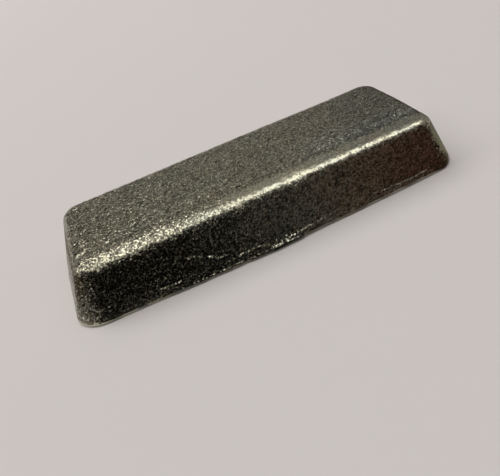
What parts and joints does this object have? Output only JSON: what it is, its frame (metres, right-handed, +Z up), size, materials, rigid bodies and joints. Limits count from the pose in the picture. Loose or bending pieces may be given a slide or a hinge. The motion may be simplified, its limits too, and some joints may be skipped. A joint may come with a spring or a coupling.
{
  "type": "pewter ingot",
  "caption": "Short cast bar of pewter with a trapezoid section, drafted walls and rounded edges, kept as raw stock for melting and casting.",
  "frame": {"origin": "middle of the wide pour face that the bar lies on", "axes": "+X along the bar, +Z up through the narrow face that lay on the mould's floor"},
  "size_m": [0.1492, 0.0574, 0.02],
  "materials": {
    "pewter": "satin"
  },
  "bodies": {
    "root": {"ingot": "pewter"}
  },
  "joints": []
}
